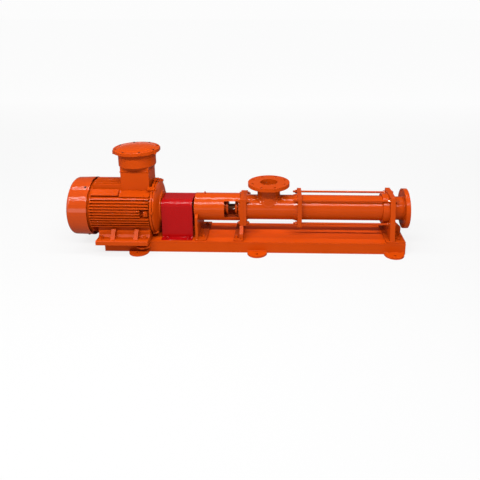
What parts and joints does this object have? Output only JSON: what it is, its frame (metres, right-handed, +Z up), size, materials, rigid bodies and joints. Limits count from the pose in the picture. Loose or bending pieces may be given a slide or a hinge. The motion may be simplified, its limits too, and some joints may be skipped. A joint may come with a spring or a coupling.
{
  "type": "progressive cavity pump set",
  "caption": "Motor-driven progressive cavity pump on a steel base, with a coupling guard, top inlet flange, long stator with tie rods and an end discharge flange.",
  "frame": {"origin": "middle of the base's underside, on the floor", "axes": "+X along the shaft, from the motor to the discharge flange; +Z up"},
  "size_m": [2.054, 0.418, 0.6303],
  "materials": {
    "orange_paint": "satin",
    "red_paint": "satin",
    "shaft_steel": "satin",
    "coupling_iron": "rough",
    "rubber": "matt",
    "fan_plastic": "matt"
  },
  "bodies": {
    "pump_set": {"base_top_plate": "orange_paint", "base_front_rail": "orange_paint", "base_back_rail": "orange_paint", "base_left_end": "orange_paint", "base_right_end": "orange_paint", "base_cross_rib_1": "orange_paint", "base_cross_rib_2": "orange_paint", "anchor_lug_front_1": "orange_paint", "anchor_lug_front_2": "orange_paint", "anchor_lug_front_3": "orange_paint", "anchor_lug_back_1": "orange_paint", "anchor_lug_back_2": "orange_paint", "anchor_lug_back_3": "orange_paint", "jacking_lug_front": "orange_paint", "jacking_lug_back": "orange_paint", "motor_frame": "orange_paint", "motor_foot_front": "orange_paint", "motor_foot_back": "orange_paint", "rear_end_shield": "orange_paint", "drive_end_shield": "orange_paint", "fan_cover": "orange_paint", "lifting_lug": "orange_paint", "terminal_box": "orange_paint", "terminal_box_neck": "orange_paint", "terminal_box_lid": "orange_paint", "bearing_housing": "orange_paint", "bearing_pedestal": "orange_paint", "bearing_cover_outer": "orange_paint", "bearing_cover_inner": "orange_paint", "lantern_plate": "orange_paint", "gland_follower": "orange_paint", "suction_casing": "orange_paint", "inlet_flange": "orange_paint", "stator_tube": "orange_paint", "tie_rod_upper_front": "orange_paint", "tie_rod_upper_back": "orange_paint", "tie_rod_lower_front": "orange_paint", "tie_rod_lower_back": "orange_paint", "end_support_plate": "orange_paint", "discharge_flange": "orange_paint", "coupling_guard": "red_paint", "rotor": "shaft_steel", "stator_lining": "rubber"},
    "shaft_line": {"cooling_fan": "fan_plastic", "motor_shaft": "shaft_steel", "coupling_motor_half": "coupling_iron", "coupling_element": "rubber", "coupling_pump_half": "coupling_iron", "pump_shaft": "shaft_steel", "connecting_rod": "shaft_steel"}
  },
  "joints": [
    {"name": "shaft_spin", "type": "hinge", "parent": "pump_set", "child": "shaft_line", "pos_m": [-0.3, 0, 0.242], "axis": [1, 0, 0], "continuous": true}
  ]
}
